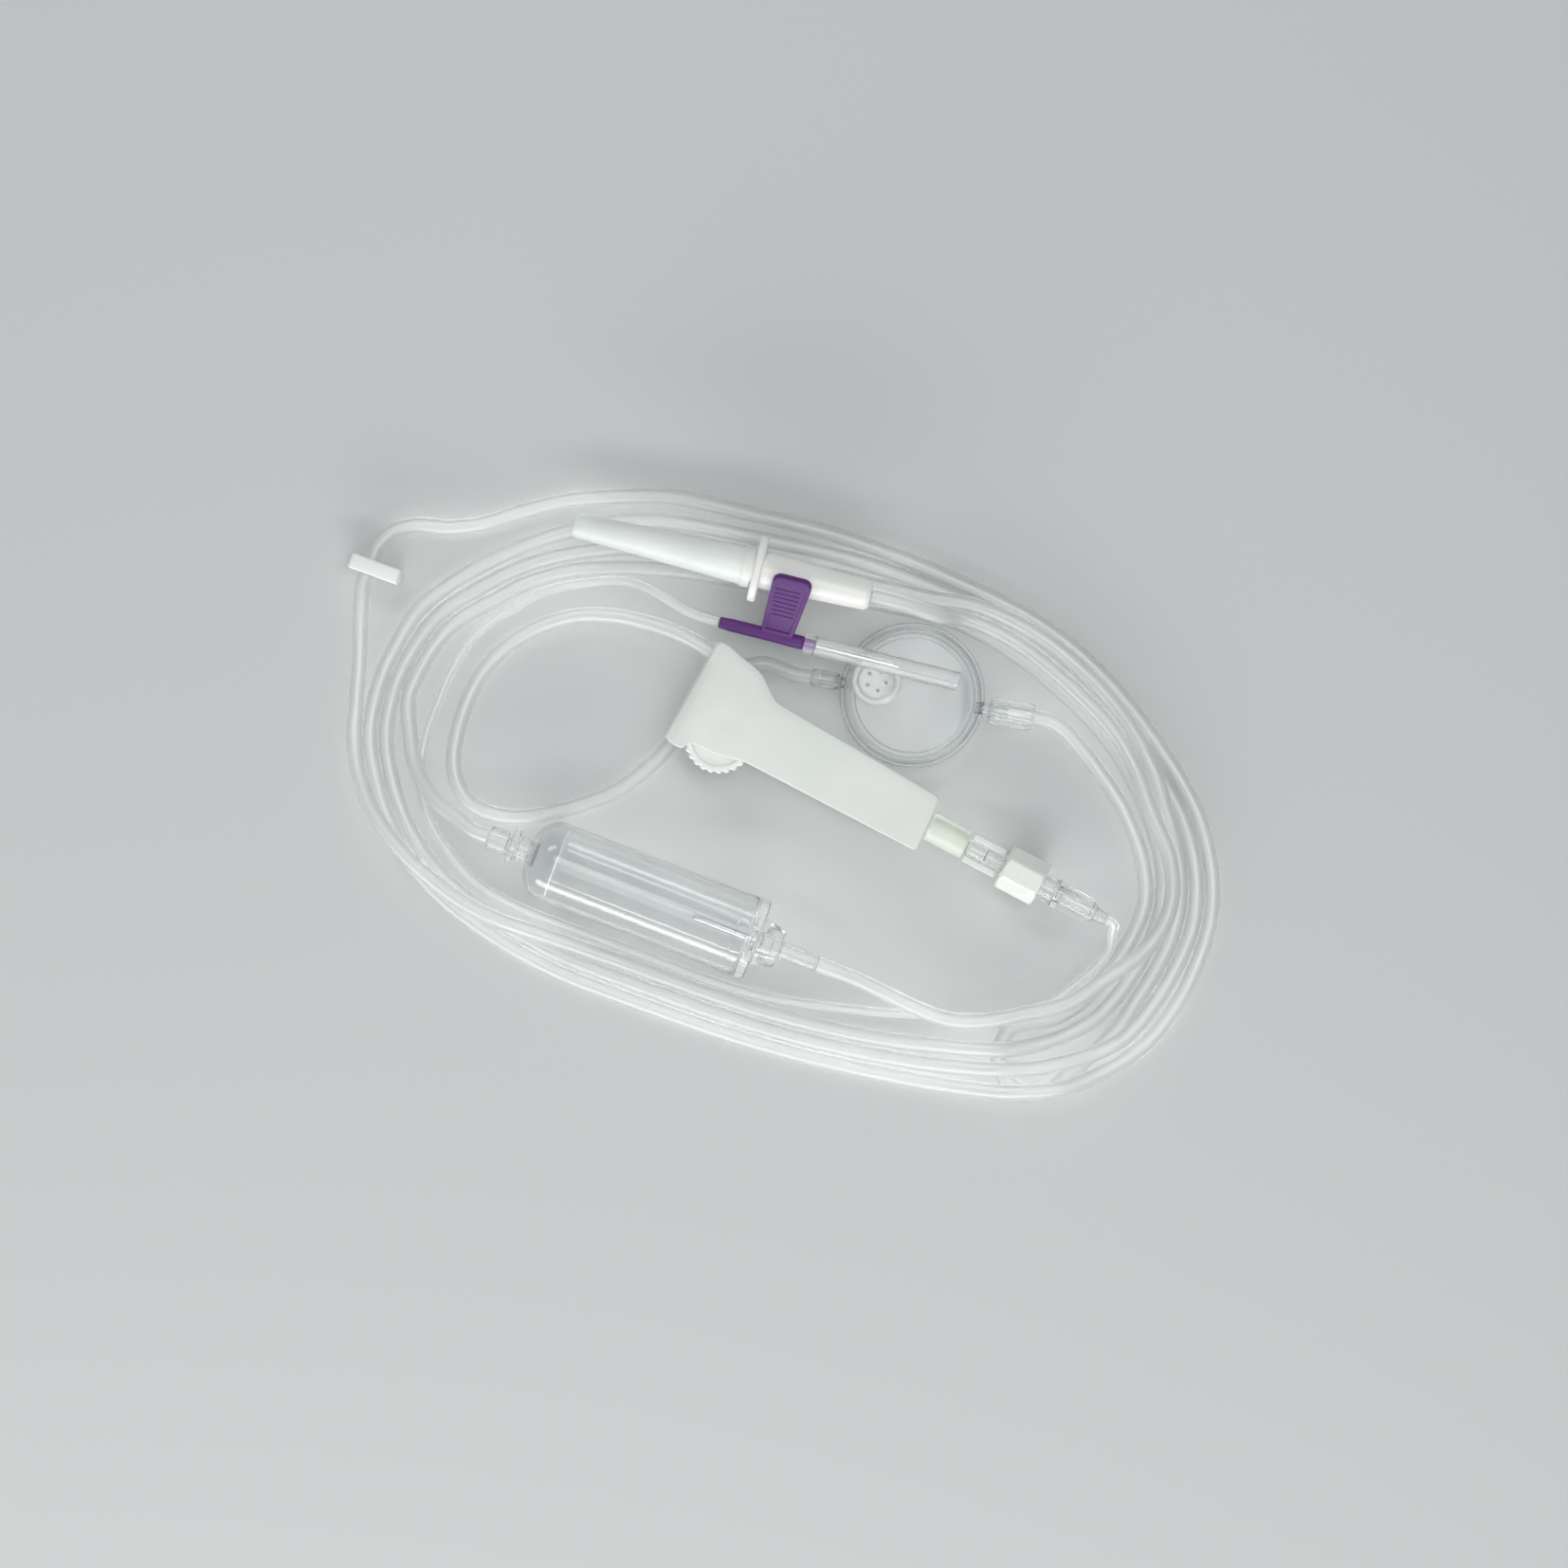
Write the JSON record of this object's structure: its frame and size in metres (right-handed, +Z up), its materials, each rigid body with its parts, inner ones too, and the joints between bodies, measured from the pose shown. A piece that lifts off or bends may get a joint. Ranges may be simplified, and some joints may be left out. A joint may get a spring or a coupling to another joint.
{
  "type": "iv infusion set",
  "caption": "Coiled infusion set with a sheathed spike, drip chamber, roller clamp, disc filter, slide clamp, lock connector and a winged needle, lying flat",
  "frame": {"origin": "on the floor under the middle of the solid pieces, the tubing left out", "axes": "X along the long side of the coiled set with the lock connector at +X, Y across it with the spike at +Y, Z up from the floor"},
  "size_m": [0.2207, 0.123, 0.0203],
  "materials": {
    "clear_tubing": "clear flexible vinyl tube, glossy",
    "needle_tubing": "clear thin flexible tube, glossy",
    "milky_sheath": "milky translucent moulding",
    "spike_white": "white moulding with a soft shine",
    "violet_wings": "deep violet flexible moulding",
    "needle_steel": "fine bright steel",
    "clear_guard": "clear rigid sleeve",
    "clear_shell": "clear rigid moulding",
    "membrane": "white filter membrane",
    "clear_connector": "clear rigid moulding",
    "milky_clamp": "milky translucent moulding",
    "roller_white": "white ribbed wheel",
    "injection_rubber": "soft translucent elastomer",
    "nut_white": "white moulding",
    "clear_chamber": "clear soft vinyl cylinder",
    "filter_mesh": "fine woven nylon mesh",
    "slide_white": "white moulding"
  },
  "bodies": {
    "set": {"cannula": "needle_steel", "chamber_cap": "clear_connector", "chamber_dropper": "needle_steel", "chamber_inlet_tube": "clear_tubing", "chamber_outlet": "clear_connector", "chamber_outlet_tube": "clear_tubing", "clamp_tube": "clear_tubing", "drip_chamber": "clear_chamber", "female_luer": "clear_connector", "filter_inlet_socket": "clear_connector", "filter_inlet_tube": "clear_tubing", "filter_lower_shell": "clear_shell", "filter_membrane": "membrane", "filter_outlet_socket": "clear_connector", "filter_upper_shell": "clear_shell", "fluid_filter_mesh": "filter_mesh", "injection_tube": "injection_rubber", "loop_tube": "clear_tubing", "male_luer": "clear_connector", "needle_tube_hub_end": "needle_tubing", "needle_tube_wing_end": "needle_tubing", "roller_clamp_body": "milky_clamp", "slide_clamp_strand": "clear_tubing", "spike": "spike_white", "spike_tube": "clear_tubing", "tubing_coil": "clear_tubing", "vent_membrane": "membrane", "winged_hub": "violet_wings"},
    "roller": {"roller_wheel": "roller_white"},
    "sheath": {"spike_sheath": "milky_sheath"},
    "guard": {"needle_guard": "clear_guard"},
    "lock_nut": {"luer_lock_nut": "nut_white"},
    "slide_clamp_plate": {"slide_clamp": "slide_white"}
  },
  "joints": [
    {"name": "roller_slide", "type": "slide", "parent": "set", "child": "roller", "axis": [0.988, -0.1318, -0.0802], "range_m": [0, 0.04], "deforming": ["clamp_tube"]},
    {"name": "sheath_pull", "type": "slide", "parent": "set", "child": "sheath", "axis": [-0.9936, -0.1132, 0], "range_m": [0, 0.045]},
    {"name": "guard_pull", "type": "slide", "parent": "set", "child": "guard", "axis": [0.9945, 0.1045, 0], "range_m": [0, 0.04]},
    {"name": "lock_nut_turn", "type": "hinge", "parent": "set", "child": "lock_nut", "pos_m": [0.07016, -0.00359, 0.006], "axis": [0.9905, -0.1374, 0], "continuous": true},
    {"name": "slide_clamp_shift", "type": "slide", "parent": "set", "child": "slide_clamp_plate", "axis": [-1, 0, 0], "range_m": [0, 0.0044], "deforming": ["slide_clamp_strand"]}
  ]
}
